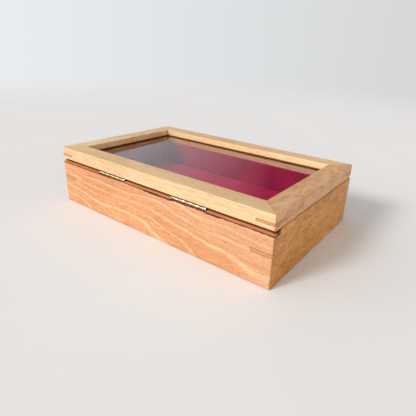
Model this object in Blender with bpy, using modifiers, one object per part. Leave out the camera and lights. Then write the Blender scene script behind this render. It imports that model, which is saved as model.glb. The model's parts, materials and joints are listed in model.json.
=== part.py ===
"""Coin display tray: a velvet-lined beech case with a glazed lid on two brass butt hinges.

Frame: X along the length, Y from the opening front (-Y) to the hinge side (+Y), Z up.
The origin is the centre of the footprint, on the surface that the case stands on.
Every frame member is described by an outline of (depth inward from the outer face, height, eased).
"""
import math

import bmesh
import bpy
from mathutils import Matrix, Vector

MM = 0.001

# Overall size
LENGTH = 260 * MM
WIDTH = 160 * MM
HEIGHT = 61 * MM
SEAM_Z = 47.8 * MM  # middle of the joint between case and lid
LID_LENGTH = 259.4 * MM  # the lid is a hair shorter than the case

# Gaps between neighbouring pieces
FIT_GAP = 0.3 * MM
GLUE_GAP = 0.2 * MM

# Timber edges
EASE = 0.5 * MM  # softened arrises
EASE_SEGMENTS = 2
CORNER_RADIUS = 1.6 * MM
CORNER_SEGMENTS = 4
FORM_MARGIN = 0.01 * MM
CUT_MARGIN = 1 * MM  # how far a cutter runs past the surface that it opens

# Case
CASE_TOP = SEAM_Z - FIT_GAP / 2
CASE_WALL = 13 * MM
GROOVE_DEPTH = 5 * MM
BOARD_THICKNESS = 4 * MM
BOARD_Z = 5.2 * MM  # underside of the bottom board

# Notch along the hinge side, which the knuckles lie in
NOTCH_DEPTH = 8 * MM
NOTCH_CASE_DROP = 3.15 * MM
NOTCH_LID_RISE = 0.8 * MM
KERF_HEIGHT = 0.7 * MM
KERF_DEPTH = 1.2 * MM
LIP_INSET = 0.1 * MM  # the lip over the kerf stays this far inside the outer face

# Finger notch along the front
GRIP_LID_DEPTH = 5 * MM
GRIP_LID_RISE = 4 * MM
GRIP_CASE_DEPTH = 2.5 * MM
GRIP_CASE_DROP = 2 * MM

# Lid frame and glazing
LID_BOTTOM = SEAM_Z + FIT_GAP / 2
RAIL_WIDTH = 18.6 * MM
REBATE_WIDTH = 5 * MM
GLASS_RECESS = 7 * MM  # top of the glass below the top of the lid
GLASS_THICKNESS = 2 * MM
SEAL_WIDTH = 1 * MM
SEAL_HEIGHT = 0.9 * MM

# Corner keys: (leg along each face, thickness, height of the middle)
CASE_KEY = (19 * MM, 3.0 * MM, 28 * MM)
LID_KEY = (16 * MM, 1.8 * MM, 53.2 * MM)

# Velvet lining
LINING_THICKNESS = 2 * MM
LINING_TOP = CASE_TOP - 1.2 * MM
PAD_BOARD_THICKNESS = 2 * MM
PAD_THICKNESS = 6.3 * MM
PAD_ROUND = 2.2 * MM

# Butt hinges
HINGE_LENGTH = 38 * MM
HINGE_SPACING = 98 * MM  # between the two hinges' middles
KNUCKLES = 5
KNUCKLE_RADIUS = 1.9 * MM
KNUCKLE_SIDES = 24
AXIS_INSET = 2.1 * MM  # pin's axis inward from the hinge face
LEAF_THICKNESS = 1.4 * MM
LEAF_GAP = 0.8 * MM  # between the two closed leaves
LEAF_WIDTH = 10 * MM  # from the pin's axis to the free edge
PIN_RADIUS = 1.0 * MM
PIN_CLEARANCE = 0.07 * MM
SCREW_SPACING = 12.5 * MM
SCREW_INSET = 6 * MM  # from the pin's axis
SCREW_HEAD_RADIUS = 1.75 * MM
SCREW_SHANK_RADIUS = 0.95 * MM
SCREW_LENGTH = 8.5 * MM
SCREW_STEPS = 16
HOLE_CLEARANCE = 0.12 * MM

AXIS_Y = WIDTH / 2 - AXIS_INSET
AXIS_Z = LID_BOTTOM - GLUE_GAP / 2 - LEAF_THICKNESS - LEAF_GAP / 2

# Each side of a frame, with its turn about Z
SIDES = {"back": 0, "left": 90, "front": 180, "right": 270}
# Each corner: turn about Z, signs of X and Y
CORNERS = {
    "back_right": (0, 1, 1),
    "back_left": (90, -1, 1),
    "front_left": (180, -1, -1),
    "front_right": (270, 1, -1),
}


# ---------------------------------------------------------------- scene and helpers

def clear_scene():
    for obj in list(bpy.data.objects):
        bpy.data.objects.remove(obj, do_unlink=True)


def new_collection(name):
    collection = bpy.data.collections.new(name)
    bpy.context.scene.collection.children.link(collection)
    return collection


def new_material(name, colour, roughness, metallic=0.0, transmission=0.0):
    material = bpy.data.materials.new(name)
    material.use_nodes = True
    shader = material.node_tree.nodes["Principled BSDF"]
    shader.inputs["Base Color"].default_value = (*colour, 1.0)
    shader.inputs["Roughness"].default_value = roughness
    shader.inputs["Metallic"].default_value = metallic
    shader.inputs["Transmission Weight"].default_value = transmission
    return material


def new_object(name, bm, material=None):
    """Make an object from a bmesh: a part if it has a material, else a cutter."""
    bmesh.ops.recalc_face_normals(bm, faces=bm.faces)
    mesh = bpy.data.meshes.new(name)
    bm.to_mesh(mesh)
    bm.free()
    obj = bpy.data.objects.new(name, mesh)
    if material is None:
        cutters.objects.link(obj)
        obj.hide_render = True
        obj.display_type = "WIRE"
    else:
        mesh.materials.append(material)
        parts.objects.link(obj)
    return obj


def boolean(obj, operation, cutter):
    modifier = obj.modifiers.new(operation.lower() + "_" + cutter.name, "BOOLEAN")
    modifier.operation = operation
    modifier.solver = "EXACT"
    modifier.object = cutter


def bake(obj):
    """Turn the object's modifiers into mesh, so that copies can share it."""
    depsgraph = bpy.context.evaluated_depsgraph_get()
    mesh = bpy.data.meshes.new_from_object(obj.evaluated_get(depsgraph))
    mesh.name = obj.name
    obj.modifiers.clear()
    obj.data = mesh


def shade_round(mesh, angle=35):
    mesh.shade_smooth()
    mesh.set_sharp_from_angle(angle=math.radians(angle))


def hang_on(obj, pivot):
    """Parent to an empty that is only moved, keeping the object's own coordinates."""
    obj.parent = pivot
    obj.matrix_parent_inverse = Matrix.Translation(-pivot.location)


def box(low, high):
    bm = bmesh.new()
    low, high = Vector(low), Vector(high)
    size = high - low
    place = Matrix.Translation((low + high) / 2) @ Matrix.Diagonal((*size, 1.0))
    bmesh.ops.create_cube(bm, size=1.0, matrix=place)
    return bm


def add_rod(bm, radius, x_low, x_high, sides=KNUCKLE_SIDES):
    """Add a capped cylinder along X, centred on the X axis."""
    place = Matrix.Translation(((x_low + x_high) / 2, 0, 0)) @ Matrix.Rotation(math.radians(90), 4, "Y")
    bmesh.ops.create_cone(bm, cap_ends=True, segments=sides, radius1=radius, radius2=radius,
                          depth=x_high - x_low, matrix=place)


def prism(outline, z_low, z_high):
    """Extrude a flat outline in X and Y from z_low to z_high."""
    bm = bmesh.new()
    base = bm.faces.new([bm.verts.new((x, y, z_low)) for x, y in outline])
    made = bmesh.ops.extrude_face_region(bm, geom=[base])["geom"]
    bmesh.ops.translate(bm, vec=(0, 0, z_high - z_low),
                        verts=[item for item in made if isinstance(item, bmesh.types.BMVert)])
    return bm


def mitred_member(outline, run, reach):
    """A frame member along X with its outer face at y = reach and both ends mitred at 45 degrees."""
    bm = bmesh.new()
    ring = [bm.verts.new((-1.0, reach - depth, height)) for depth, height, _ in outline]
    made = bmesh.ops.extrude_face_region(bm, geom=[bm.faces.new(ring)])["geom"]
    bmesh.ops.translate(bm, vec=(2.0, 0, 0),
                        verts=[item for item in made if isinstance(item, bmesh.types.BMVert)])
    eased_points = {(reach - depth, height) for depth, height, eased in outline if eased}
    eased_edges = []
    for edge in bm.edges:
        ends = edge.verts
        along_x = abs(ends[0].co.x - ends[1].co.x) > 1.0
        if along_x and any(math.dist(ends[0].co.yz, point) < 1e-6 for point in eased_points):
            eased_edges.append(edge)
    bmesh.ops.bevel(bm, geom=eased_edges, offset=EASE, segments=EASE_SEGMENTS, profile=0.5,
                    affect="EDGES")
    set_back = GLUE_GAP / 2 * math.sqrt(2)
    for vert in bm.verts:
        depth = reach - vert.co.y
        vert.co.x = math.copysign(run / 2 - depth - set_back, vert.co.x)
    return bm


def frame_member(name, outline, side, material, length=LENGTH):
    """One side of a mitred frame that is length by WIDTH over its outer faces."""
    run, reach = (length, WIDTH / 2) if side in ("back", "front") else (WIDTH, length / 2)
    obj = new_object(name, mitred_member(outline, run, reach), material)
    obj.rotation_euler.z = math.radians(SIDES[side])
    return obj


# ---------------------------------------------------------------- timber case

def case_edge(side):
    """Upper outer edge of a case panel, from its outer face inwards."""
    if side == "back":
        lip = SEAM_Z - NOTCH_CASE_DROP
        return [
            (0, lip - KERF_HEIGHT, True),
            (KERF_DEPTH, lip - KERF_HEIGHT, False),
            (KERF_DEPTH, lip, False),
            (LIP_INSET, lip, False),
            (NOTCH_DEPTH, CASE_TOP, False),
        ]
    if side == "front":
        return [(0, CASE_TOP - GRIP_CASE_DROP, True), (GRIP_CASE_DEPTH, CASE_TOP, False)]
    return [(0, CASE_TOP, True)]


def case_outline(side):
    """Section of a case panel, with the groove for the bottom board."""
    groove_low = BOARD_Z - GLUE_GAP
    groove_high = BOARD_Z + BOARD_THICKNESS + GLUE_GAP
    inner = [
        (CASE_WALL, CASE_TOP, True),
        (CASE_WALL, groove_high, False),
        (CASE_WALL - GROOVE_DEPTH, groove_high, False),
        (CASE_WALL - GROOVE_DEPTH, groove_low, False),
        (CASE_WALL, groove_low, False),
        (CASE_WALL, 0, True),
    ]
    return [(0, 0, True)] + case_edge(side) + inner


def lid_edge(side):
    """Lower outer edge of a lid rail, from its outer face inwards."""
    if side == "back":
        return [(0, SEAM_Z + NOTCH_LID_RISE, True), (NOTCH_DEPTH, LID_BOTTOM, False)]
    if side == "front":
        return [(0, LID_BOTTOM + GRIP_LID_RISE, True), (GRIP_LID_DEPTH, LID_BOTTOM, False)]
    return [(0, LID_BOTTOM, True)]


def lid_outline(side):
    """Section of a lid rail, with the glazing rebate below its inner edge."""
    rebate_z = HEIGHT - GLASS_RECESS
    inner = [
        (RAIL_WIDTH, HEIGHT, True),
        (RAIL_WIDTH, rebate_z, False),
        (RAIL_WIDTH - REBATE_WIDTH, rebate_z, False),
        (RAIL_WIDTH - REBATE_WIDTH, LID_BOTTOM, False),
    ]
    return [(0, HEIGHT, True)] + inner + lid_edge(side)[::-1]


def run_edge_through(label, edge_of, beyond, members):
    """Carry the back's and the front's edge shapes out through the mitred tips of the side members."""
    for side in ("back", "front"):
        edge = [(-depth, height) for depth, height, _ in edge_of(side)]
        outline = [(CUT_MARGIN, edge[0][1])] + edge + [(edge[-1][0], beyond), (CUT_MARGIN, beyond)]
        cutter = new_object(f"{label}_{side}_edge", prism(outline, -LENGTH, LENGTH))
        turn = math.radians(SIDES[side])
        cutter.location = Matrix.Rotation(turn, 3, "Z") @ Vector((0, WIDTH / 2, 0))
        cutter.rotation_euler = (math.radians(90), 0, math.radians(90) + turn)
        for tip in ("left", "right"):
            boolean(members[tip], "DIFFERENCE", cutter)


def corner_triangle(leg, overshoot):
    """Outline of a corner key; the corner is the origin and its faces run to -X and -Y."""
    return [(overshoot, overshoot), (-leg - overshoot, overshoot), (overshoot, -leg - overshoot)]


def make_keys(label, sizes, panels, form, length):
    """Diagonal keys let into sawn slots across the corners, one slot cutter for each key."""
    leg, thickness, middle = sizes
    keys = []
    for corner, (turn, sign_x, sign_y) in CORNERS.items():
        place = (sign_x * length / 2, sign_y * WIDTH / 2, middle)
        key = new_object(f"{label}_key_{corner}",
                         prism(corner_triangle(leg, 0), -thickness / 2, thickness / 2), key_wood)
        slot_leg = leg + GLUE_GAP * math.sqrt(2)
        half = thickness / 2 + GLUE_GAP
        slot = new_object(f"{label}_slot_{corner}",
                          prism(corner_triangle(slot_leg, CUT_MARGIN), -half, half))
        for obj in (key, slot):
            obj.location = place
            obj.rotation_euler.z = math.radians(turn)
        boolean(key, "INTERSECT", form)
        for side in corner.split("_"):
            boolean(panels[side], "DIFFERENCE", slot)
        keys.append(key)
    return keys


def make_outer_form(label, length):
    """Block with rounded upright edges: the sanded outside of the case or the lid."""
    half_x = length / 2 + FORM_MARGIN
    half_y = WIDTH / 2 + FORM_MARGIN
    bm = box((-half_x, -half_y, -CUT_MARGIN), (half_x, half_y, HEIGHT + CUT_MARGIN))
    upright = [edge for edge in bm.edges
               if abs(edge.verts[0].co.z - edge.verts[1].co.z) > HEIGHT]
    bmesh.ops.bevel(bm, geom=upright, offset=CORNER_RADIUS, segments=CORNER_SEGMENTS, profile=0.5,
                    affect="EDGES")
    return new_object(f"{label}_form", bm)


def make_case():
    form = make_outer_form("case", LENGTH)
    panels = {}
    for side in SIDES:
        panels[side] = frame_member(f"case_{side}_panel", case_outline(side), side, case_wood)
        boolean(panels[side], "INTERSECT", form)
    run_edge_through("case", case_edge, CASE_TOP + CUT_MARGIN, panels)
    make_keys("case", CASE_KEY, panels, form, LENGTH)
    inset = CASE_WALL - GROOVE_DEPTH + 0.5 * MM
    half_x = LENGTH / 2 - inset
    half_y = WIDTH / 2 - inset
    new_object("case_bottom_board", box((-half_x, -half_y, BOARD_Z),
                                        (half_x, half_y, BOARD_Z + BOARD_THICKNESS)), board_wood)
    return panels


# ---------------------------------------------------------------- velvet lining

def make_lining():
    floor = BOARD_Z + BOARD_THICKNESS + FIT_GAP
    outer = CASE_WALL + FIT_GAP
    inner = outer + LINING_THICKNESS
    outline = [(outer, floor, False), (outer, LINING_TOP, True), (inner, LINING_TOP, True),
               (inner, floor, False)]
    for side in SIDES:
        frame_member(f"lining_{side}", outline, side, velvet)

    half_x = LENGTH / 2 - inner - FIT_GAP
    half_y = WIDTH / 2 - inner - FIT_GAP
    board_top = floor + PAD_BOARD_THICKNESS
    new_object("pad_board", box((-half_x, -half_y, floor), (half_x, half_y, board_top)), card)

    bm = box((-half_x, -half_y, board_top + FIT_GAP), (half_x, half_y, board_top + FIT_GAP + PAD_THICKNESS))
    rims = [edge for edge in bm.edges if all(vert.co.z > board_top + PAD_THICKNESS / 2
                                             for vert in edge.verts)]
    bmesh.ops.bevel(bm, geom=rims, offset=PAD_ROUND, segments=3, profile=0.5, affect="EDGES")
    new_object("coin_pad", bm, velvet)


# ---------------------------------------------------------------- glazed lid

def make_lid():
    form = make_outer_form("lid", LID_LENGTH)
    rails = {}
    for side in SIDES:
        rails[side] = frame_member(f"lid_{side}_rail", lid_outline(side), side, lid_wood, LID_LENGTH)
        boolean(rails[side], "INTERSECT", form)
    run_edge_through("lid", lid_edge, LID_BOTTOM - CUT_MARGIN, rails)
    pieces = list(rails.values())
    pieces += make_keys("lid", LID_KEY, rails, form, LID_LENGTH)

    glass_top = HEIGHT - GLASS_RECESS - GLUE_GAP
    glass_bottom = glass_top - GLASS_THICKNESS
    inset = RAIL_WIDTH - REBATE_WIDTH + 0.5 * MM
    half_x = LID_LENGTH / 2 - inset
    half_y = WIDTH / 2 - inset
    pane = new_object("glass_pane", box((-half_x, -half_y, glass_bottom), (half_x, half_y, glass_top)), glass)
    pieces.append(pane)

    seal_bottom = glass_top + GLUE_GAP
    half_x = LID_LENGTH / 2 - RAIL_WIDTH - GLUE_GAP
    half_y = WIDTH / 2 - RAIL_WIDTH - GLUE_GAP
    seal = new_object("glass_seal", box((-half_x, -half_y, seal_bottom),
                                        (half_x, half_y, seal_bottom + SEAL_HEIGHT)), rubber)
    half_x -= SEAL_WIDTH
    half_y -= SEAL_WIDTH
    boolean(seal, "DIFFERENCE", new_object("seal_window", box(
        (-half_x, -half_y, seal_bottom - CUT_MARGIN), (half_x, half_y, HEIGHT))))
    pieces.append(seal)

    bead_outer = RAIL_WIDTH - REBATE_WIDTH + GLUE_GAP
    bead_top = glass_bottom - GLUE_GAP
    outline = [(bead_outer, LID_BOTTOM, False), (bead_outer, bead_top, False),
               (RAIL_WIDTH, bead_top, False), (RAIL_WIDTH, LID_BOTTOM, True)]
    for side in SIDES:
        pieces.append(frame_member(f"glazing_bead_{side}", outline, side, bead_wood, LID_LENGTH))
    return rails, pieces


# ---------------------------------------------------------------- brass hinges

def knuckle_span(index, gap):
    """Low and high X of a knuckle, shortened by the gap, or lengthened by a negative one."""
    pitch = HINGE_LENGTH / KNUCKLES
    low = -HINGE_LENGTH / 2 + index * pitch
    return low + gap / 2, low + pitch - gap / 2


def screw_places():
    return [(step * SCREW_SPACING, -SCREW_INSET) for step in (-1, 0, 1)]


def leaf_mesh(name, own, others, facing):
    """One hinge leaf about the pin's axis; facing is 1 for the lid's leaf and -1 for the case's."""
    half = HINGE_LENGTH / 2
    near = facing * LEAF_GAP / 2
    far = facing * (LEAF_GAP / 2 + LEAF_THICKNESS)
    leaf = new_object(name, box((-half, -LEAF_WIDTH, min(near, far)), (half, 0, max(near, far))), brass)

    relief = bmesh.new()
    for index in others:
        add_rod(relief, KNUCKLE_RADIUS + FIT_GAP, *knuckle_span(index, -FIT_GAP))
    knuckles = bmesh.new()
    for index in own:
        add_rod(knuckles, KNUCKLE_RADIUS, *knuckle_span(index, FIT_GAP))
    bore = bmesh.new()
    add_rod(bore, PIN_RADIUS + PIN_CLEARANCE, -half - CUT_MARGIN, half + CUT_MARGIN)
    past = 0.2 * MM
    depth = LEAF_THICKNESS + 2 * past
    wide = SCREW_HEAD_RADIUS + HOLE_CLEARANCE + past
    low_radius, high_radius = (wide, wide - depth) if facing > 0 else (wide - depth, wide)
    shank_radius = SCREW_SHANK_RADIUS + HOLE_CLEARANCE
    countersinks = bmesh.new()
    shanks = bmesh.new()
    for x, y in screw_places():
        # The cone has the 45 degree taper of the screw's head and runs past both faces of the leaf.
        bmesh.ops.create_cone(countersinks, cap_ends=True, segments=SCREW_STEPS * 2,
                              radius1=low_radius, radius2=high_radius, depth=depth,
                              matrix=Matrix.Translation((x, y, (near + far) / 2)))
        bmesh.ops.create_cone(shanks, cap_ends=True, segments=SCREW_STEPS * 2, radius1=shank_radius,
                              radius2=shank_radius, depth=LEAF_WIDTH, matrix=Matrix.Translation((x, y, 0)))

    boolean(leaf, "DIFFERENCE", new_object(name + "_relief", relief))
    boolean(leaf, "UNION", new_object(name + "_knuckles", knuckles))
    for label, bm in (("bore", bore), ("countersinks", countersinks), ("shanks", shanks)):
        boolean(leaf, "DIFFERENCE", new_object(f"{name}_{label}", bm))
    bake(leaf)
    shade_round(leaf.data)
    return leaf


def turned(name, profile, material, steps):
    """Turn a profile of (radius, z) about Z; it runs from top to bottom."""
    bm = bmesh.new()
    verts = [bm.verts.new((radius, 0, z)) for radius, z in profile]
    for upper, lower in zip(verts, verts[1:]):
        bm.edges.new((upper, lower))
    obj = new_object(name, bm, material)
    screw = obj.modifiers.new("turn", "SCREW")
    screw.steps = steps
    screw.render_steps = steps
    screw.use_merge_vertices = True
    screw.merge_threshold = 0.00001
    return obj


def screw_shape():
    """Countersunk slotted wood screw, head up, with the top of its head at z = 0."""
    head = SCREW_HEAD_RADIUS - SCREW_SHANK_RADIUS
    profile = [(0, 0), (SCREW_HEAD_RADIUS, 0), (SCREW_SHANK_RADIUS, -head),
               (SCREW_SHANK_RADIUS, 2.5 * MM - SCREW_LENGTH), (0, -SCREW_LENGTH)]
    screw = turned("left_hinge_case_screw_1", profile, brass, SCREW_STEPS)
    slot = new_object("screw_slot", box((-3 * MM, -0.25 * MM, -0.4 * MM), (3 * MM, 0.25 * MM, 1 * MM)))
    boolean(screw, "DIFFERENCE", slot)
    bake(screw)
    shade_round(screw.data)
    return screw


def pin_shape():
    """Hinge pin along Z with rounded ends."""
    half = HINGE_LENGTH / 2
    end = 0.35 * MM
    arc = [(PIN_RADIUS - end + end * math.sin(angle), half - end + end * math.cos(angle))
           for angle in (0, math.radians(45), math.radians(90))]
    upper = [(0, half)] + arc
    profile = upper + [(radius, -z) for radius, z in reversed(upper)]
    pin = turned("left_hinge_pin", profile, brass, KNUCKLE_SIDES)
    bake(pin)
    shade_round(pin.data)
    return pin


def copy_of(first, name):
    """A second object on the same mesh."""
    if first.name == name:
        return first
    obj = bpy.data.objects.new(name, first.data)
    parts.objects.link(obj)
    return obj


def cut_hinge_seats(side_x, case_panel, lid_rail, label):
    """Mortise for both leaves and recess for the knuckles in the case, and the screws' pilot holes."""
    half = HINGE_LENGTH / 2 + FIT_GAP
    floor = AXIS_Z - LEAF_GAP / 2 - LEAF_THICKNESS - GLUE_GAP
    mortise = new_object(f"{label}_mortise", box(
        (side_x - half, AXIS_Y - LEAF_WIDTH - FIT_GAP, floor),
        (side_x + half, AXIS_Y, SEAM_Z)))
    boolean(case_panel, "DIFFERENCE", mortise)

    recess_bm = bmesh.new()
    add_rod(recess_bm, KNUCKLE_RADIUS + FIT_GAP, -half, half)
    recess = new_object(f"{label}_recess", recess_bm)
    recess.location = (side_x, AXIS_Y, AXIS_Z)
    boolean(case_panel, "DIFFERENCE", recess)

    radius = SCREW_SHANK_RADIUS + HOLE_CLEARANCE
    length = SCREW_LENGTH + FIT_GAP
    for panel, facing, where in ((case_panel, -1, "case"), (lid_rail, 1, "lid")):
        bm = bmesh.new()
        for x, y in screw_places():
            middle = (side_x + x, AXIS_Y + y, AXIS_Z + facing * length / 2)
            bmesh.ops.create_cone(bm, cap_ends=True, segments=SCREW_STEPS, radius1=radius, radius2=radius,
                                  depth=length, matrix=Matrix.Translation(middle))
        boolean(panel, "DIFFERENCE", new_object(f"{label}_{where}_pilots", bm))


def make_hinges(case_panel, lid_rail):
    """Two butt hinges; each has a case leaf, a lid leaf, a pin and six screws."""
    case_leaf = leaf_mesh("left_hinge_case_leaf", own=(0, 2, 4), others=(1, 3), facing=-1)
    lid_leaf = leaf_mesh("left_hinge_lid_leaf", own=(1, 3), others=(0, 2, 4), facing=1)
    pin = pin_shape()
    screw = screw_shape()
    head_sink = LEAF_GAP / 2 + 0.05 * MM
    lid_pieces = []
    for label, sign in (("left_hinge", -1), ("right_hinge", 1)):
        x_middle = sign * HINGE_SPACING / 2
        at_axis = (x_middle, AXIS_Y, AXIS_Z)
        copy_of(case_leaf, f"{label}_case_leaf").location = at_axis
        on_lid = copy_of(lid_leaf, f"{label}_lid_leaf")
        on_lid.location = at_axis
        lid_pieces.append(on_lid)
        this_pin = copy_of(pin, f"{label}_pin")
        this_pin.location = at_axis
        this_pin.rotation_euler.y = math.radians(90)
        for number, (x, y) in enumerate(screw_places(), start=1):
            in_case = copy_of(screw, f"{label}_case_screw_{number}")
            in_case.location = (x_middle + x, AXIS_Y + y, AXIS_Z - head_sink)
            in_case.rotation_euler.z = math.radians(40 * number + 25 * sign)
            in_lid = copy_of(screw, f"{label}_lid_screw_{number}")
            in_lid.location = (x_middle + x, AXIS_Y + y, AXIS_Z + head_sink)
            in_lid.rotation_euler = (math.radians(180), 0, math.radians(55 * number + 15 * sign))
            lid_pieces.append(in_lid)
        cut_hinge_seats(x_middle, case_panel, lid_rail, label)
    return lid_pieces


# ---------------------------------------------------------------- assembly

clear_scene()
parts = new_collection("coin_display_tray")
cutters = new_collection("cutters")

case_wood = new_material("case_wood", (0.84, 0.50, 0.27), 0.55)
lid_wood = new_material("lid_wood", (0.86, 0.62, 0.38), 0.55)
key_wood = new_material("key_wood", (0.60, 0.34, 0.15), 0.55)
bead_wood = new_material("bead_wood", (0.09, 0.04, 0.025), 0.6)
board_wood = new_material("board_wood", (0.72, 0.55, 0.36), 0.7)
card = new_material("card", (0.35, 0.30, 0.26), 0.9)
velvet = new_material("velvet", (0.38, 0.01, 0.05), 0.95)
glass = new_material("glass", (1.0, 1.0, 1.0), 0.02, transmission=1.0)
rubber = new_material("rubber", (0.02, 0.012, 0.01), 0.6)
brass = new_material("brass", (0.82, 0.66, 0.34), 0.3, metallic=1.0)

case_panels = make_case()
make_lining()
lid_rails, lid_parts = make_lid()
lid_parts += make_hinges(case_panels["back"], lid_rails["back"])

lid_pivot = bpy.data.objects.new("lid_pivot", None)
parts.objects.link(lid_pivot)
lid_pivot.location = (0, AXIS_Y, AXIS_Z)
for lid_part in lid_parts:
    hang_on(lid_part, lid_pivot)
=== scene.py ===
"""Looks of the coin display tray: keyed beech case, glazed lid, crimson velvet lining, brass hinges.

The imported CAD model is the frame. The timber, glass and board nodes stay and get procedural materials;
the velvet pieces and the brass hinges are replaced by finer ones in the same places.
Lengths are metres in the row frame: X along the tray, +Y the hinge side, Z up from the table.
"""
import json
import math
import random

import bmesh
import bpy
from mathutils import Matrix, Vector


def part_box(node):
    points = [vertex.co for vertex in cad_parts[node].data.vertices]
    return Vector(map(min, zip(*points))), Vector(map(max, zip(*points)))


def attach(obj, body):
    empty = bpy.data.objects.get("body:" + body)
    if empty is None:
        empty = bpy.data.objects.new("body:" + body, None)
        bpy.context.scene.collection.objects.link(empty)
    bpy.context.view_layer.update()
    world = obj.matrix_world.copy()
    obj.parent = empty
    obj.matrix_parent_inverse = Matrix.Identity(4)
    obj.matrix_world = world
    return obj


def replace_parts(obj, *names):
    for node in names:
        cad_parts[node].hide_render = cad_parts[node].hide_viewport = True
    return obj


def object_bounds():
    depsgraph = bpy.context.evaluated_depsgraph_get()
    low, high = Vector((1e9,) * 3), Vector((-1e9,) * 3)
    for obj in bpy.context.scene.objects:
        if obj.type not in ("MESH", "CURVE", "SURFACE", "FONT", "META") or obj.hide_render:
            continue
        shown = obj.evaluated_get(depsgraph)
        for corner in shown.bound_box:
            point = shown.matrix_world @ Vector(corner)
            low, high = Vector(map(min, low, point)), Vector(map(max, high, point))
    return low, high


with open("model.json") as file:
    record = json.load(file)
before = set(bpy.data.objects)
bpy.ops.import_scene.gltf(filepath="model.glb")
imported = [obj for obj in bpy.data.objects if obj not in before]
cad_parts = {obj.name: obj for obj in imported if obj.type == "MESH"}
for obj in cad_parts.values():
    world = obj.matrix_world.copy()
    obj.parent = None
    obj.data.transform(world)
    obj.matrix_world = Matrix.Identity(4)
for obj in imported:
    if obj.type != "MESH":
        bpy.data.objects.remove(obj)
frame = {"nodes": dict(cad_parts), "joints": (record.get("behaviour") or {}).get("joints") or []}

cad_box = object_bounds()

MM = 0.001

NODES = frame["nodes"]
HINGE = next(joint for joint in frame["joints"] if joint["name"] == "lid_hinge")


# ---------------------------------------------------------------- node trees

class Tree:
    """A node tree with short calls for adding nodes and joining them."""

    def __init__(self, owner):
        owner.use_nodes = True
        self.tree = owner.node_tree
        self.tree.nodes.clear()

    def add(self, kind, inputs=None, **settings):
        """Add a node; inputs maps a socket's name or number to a value or to another node's output."""
        node = self.tree.nodes.new(kind)
        for key, value in settings.items():
            setattr(node, key, value)
        for key, value in (inputs or {}).items():
            self.put(node.inputs[key], value)
        return node

    def put(self, socket, value):
        if isinstance(value, bpy.types.NodeSocket):
            self.tree.links.new(value, socket)
        else:
            socket.default_value = value

    def maths(self, operation, first, second=0.0, third=0.0):
        node = self.add("ShaderNodeMath", operation=operation)
        for number, value in enumerate((first, second, third)):
            self.put(node.inputs[number], value)
        return node.outputs[0]

    def vector(self, operation, first, second=(0.0, 0.0, 0.0)):
        node = self.add("ShaderNodeVectorMath", {0: first, 1: second}, operation=operation)
        return node.outputs[1] if operation in ("LENGTH", "DOT_PRODUCT", "DISTANCE") else node.outputs[0]

    def place(self, vector, location=(0, 0, 0), rotation=(0, 0, 0), scale=(1, 1, 1)):
        return self.add("ShaderNodeMapping", {"Vector": vector, "Location": location,
                                              "Rotation": rotation, "Scale": scale}).outputs[0]

    def noise(self, vector, scale, detail=3.0, roughness=0.5, distortion=0.0):
        return self.add("ShaderNodeTexNoise", {"Vector": vector, "Scale": scale, "Detail": detail,
                                               "Roughness": roughness, "Distortion": distortion}).outputs[0]

    def remap(self, value, low, high, new_low=0.0, new_high=1.0, smooth=False):
        node = self.add("ShaderNodeMapRange", {0: value, 1: low, 2: high, 3: new_low, 4: new_high})
        node.interpolation_type = "SMOOTHSTEP" if smooth else "LINEAR"
        return node.outputs[0]

    def ramp(self, value, stops):
        """Colours or greys along a value; stops are (position, colour)."""
        node = self.add("ShaderNodeValToRGB", {0: value})
        ramp = node.color_ramp
        while len(ramp.elements) < len(stops):
            ramp.elements.new(0.5)
        for element, (position, colour) in zip(ramp.elements, stops):
            element.position = position
            element.color = (*colour, 1.0)
        return node.outputs[0]

    def mix(self, share, first, second, blend="MIX"):
        node = self.add("ShaderNodeMix", data_type="RGBA", blend_type=blend)
        self.put(node.inputs[0], share)
        for number, colour in ((6, first), (7, second)):
            value = colour if isinstance(colour, bpy.types.NodeSocket) else (*colour[:3], 1.0)
            self.put(node.inputs[number], value)
        return node.outputs[2]

    def bump(self, height, strength, distance):
        return self.add("ShaderNodeBump", {"Height": height, "Strength": strength,
                                           "Distance": distance}).outputs[0]


def linear(red, green, blue):
    """Linear colour from 0-255 display values."""
    def channel(value):
        value /= 255
        return value / 12.92 if value <= 0.04045 else ((value + 0.055) / 1.055) ** 2.4
    return channel(red), channel(green), channel(blue)


def new_tree(name):
    material = bpy.data.materials.new(name)
    return material, Tree(material)


def finish_surface(tree, inputs):
    """Principled shader on the material's output."""
    shader = tree.add("ShaderNodeBsdfPrincipled", inputs)
    tree.add("ShaderNodeOutputMaterial", {"Surface": shader.outputs[0]})


# ---------------------------------------------------------------- wood

BEECH_LID = {"ground": linear(243, 213, 169), "pale": linear(251, 228, 190), "dark": linear(220, 180, 134),
             "fleck": linear(184, 132, 86)}
BEECH_LID_PINK = {"ground": linear(224, 179, 134), "pale": linear(236, 198, 156),
                  "dark": linear(202, 150, 106), "fleck": linear(158, 104, 66)}
BEECH_CASE = {"ground": linear(233, 176, 124), "pale": linear(255, 222, 174), "dark": linear(212, 142, 92),
              "fleck": linear(156, 86, 48)}
BEECH_END = {"ground": linear(228, 168, 88), "pale": linear(240, 186, 108), "dark": linear(202, 138, 66),
             "fleck": linear(116, 60, 22)}
KEY_WOOD = {"ground": linear(230, 170, 118), "pale": linear(240, 186, 134), "dark": linear(206, 144, 96),
            "fleck": linear(150, 94, 58)}
BEAD_WOOD = {"ground": linear(116, 56, 30), "pale": linear(134, 68, 38), "dark": linear(86, 38, 20),
             "fleck": linear(56, 24, 14)}

PINK_BEECH = linear(216, 168, 134)
GLUE_BROWN = linear(136, 82, 48)
NOTCH_BROWN = linear(236, 196, 170)
KERF_SHADE_BROWN = linear(150, 74, 44)
KERF_SHADE_BLACK = linear(16, 6, 5)
NOTCH_SHADE_BROWN = linear(120, 66, 38)

GRAIN_ALONG_X = 0.0
GRAIN_ALONG_Y = -math.pi / 2

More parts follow.
